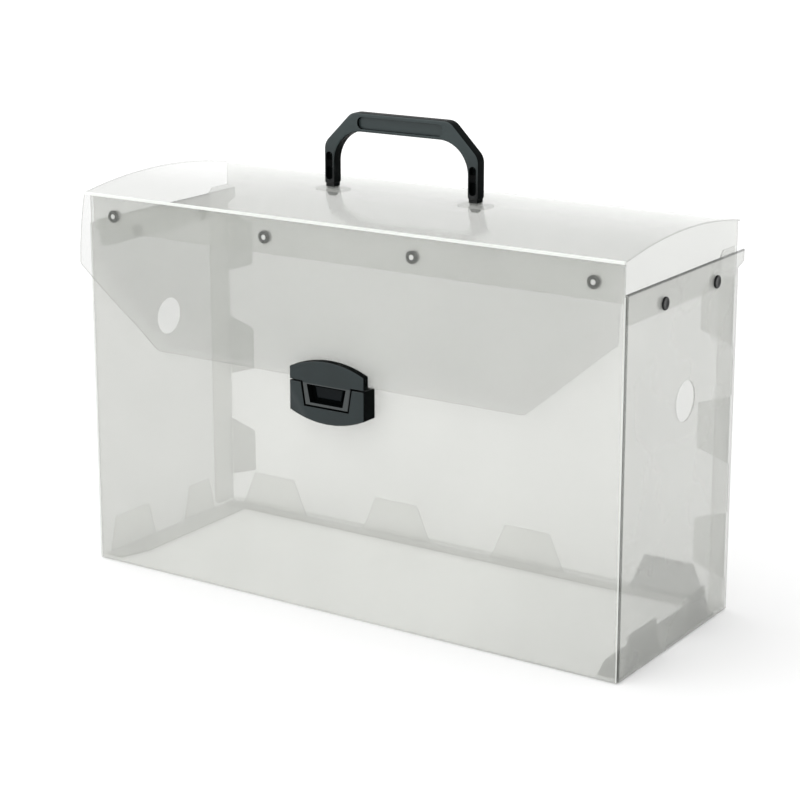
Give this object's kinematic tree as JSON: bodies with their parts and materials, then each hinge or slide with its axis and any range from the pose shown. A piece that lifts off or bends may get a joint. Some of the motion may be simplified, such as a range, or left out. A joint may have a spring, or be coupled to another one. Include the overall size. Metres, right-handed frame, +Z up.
{
  "type": "portable file box",
  "caption": "Box file of translucent folded plastic sheet with an arched hinged lid, a front flap held by a press latch, a bow handle, snap rivets and finger holes",
  "frame": {"origin": "middle of the underside", "axes": "+X to the right seen from the front, +Y to the back, +Z up; the front wall's outer face is at y = -0.070"},
  "size_m": [0.3822, 0.1596, 0.296],
  "materials": {
    "sheet": "smooth translucent white sheet",
    "dark_plastic": "fine-textured dark grey moulding",
    "rivet_plastic": "moulded black",
    "plate_plastic": "undyed milky moulding",
    "steel": "zinc plated"
  },
  "bodies": {
    "root": {"floor_panel": "sheet", "front_panel": "sheet", "left_end_panel": "sheet", "right_end_panel": "sheet", "back_panel": "sheet", "front_hem_rivets": "rivet_plastic", "front_hem_rivet_caps": "rivet_plastic", "left_hem_rivets": "rivet_plastic", "left_hem_rivet_caps": "rivet_plastic", "right_hem_rivets": "rivet_plastic", "right_hem_rivet_caps": "rivet_plastic", "latch_base": "dark_plastic", "latch_base_plate": "plate_plastic", "latch_base_screws": "steel", "latch_spring": "steel"},
    "lid": {"lid_panel": "sheet", "handle": "dark_plastic", "handle_washer_left": "plate_plastic", "handle_washer_right": "plate_plastic"},
    "flap": {"flap_panel": "sheet", "latch_hasp": "dark_plastic", "latch_hasp_plate": "plate_plastic", "latch_hasp_screws": "steel"},
    "button": {"latch_button": "dark_plastic"}
  },
  "joints": [
    {"name": "lid_hinge", "type": "hinge", "parent": "root", "child": "lid", "pos_m": [0, 0.0695, 0.2415], "axis": [-1, 0, 0], "range_deg": [0, 180]},
    {"name": "flap_hinge", "type": "hinge", "parent": "lid", "child": "flap", "pos_m": [0, -0.0733, 0.2415], "axis": [-1, 0, 0], "range_deg": [0, 180]},
    {"name": "latch_press", "type": "slide", "parent": "root", "child": "button", "axis": [0, 1, 0], "range_m": [0, 0.002], "stiffness_N_per_m": 300, "springref_m": -0.001, "deforming": ["latch_spring"]}
  ]
}
